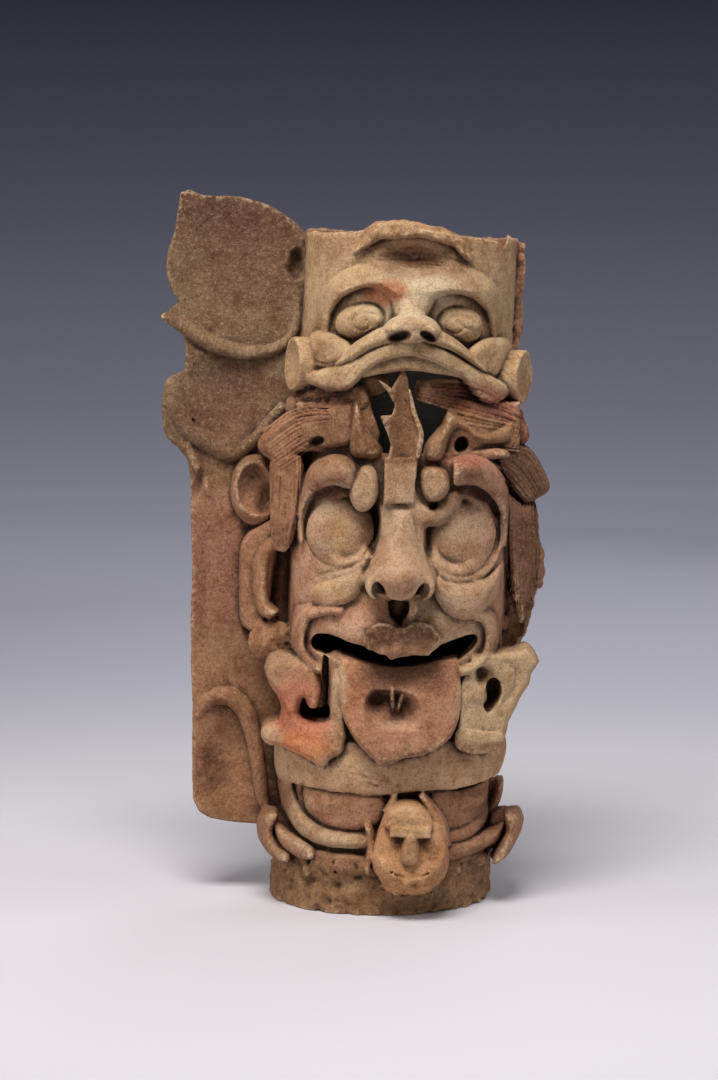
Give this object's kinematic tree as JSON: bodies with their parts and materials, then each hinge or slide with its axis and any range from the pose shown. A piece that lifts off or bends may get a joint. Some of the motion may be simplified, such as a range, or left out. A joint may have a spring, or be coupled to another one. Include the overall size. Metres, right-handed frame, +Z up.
{
  "type": "effigy censer stand",
  "caption": "Upright open clay tube with a god mask, an animal jaw above, a small pendant head below and one flat side flange; carries an incense bowl on its rim.",
  "frame": {"origin": "on the floor, under the middle of the stand's outline seen from above", "axes": "+Z up along the tube, -Y the way the mask looks, +X towards the side whose flange has broken off"},
  "size_m": [0.3862, 0.2778, 0.705],
  "materials": {
    "fired_clay": "matt unglazed earthenware with worn pale slip and traces of red paint"
  },
  "bodies": {
    "root": {"censer_stand": "fired_clay"}
  },
  "joints": []
}
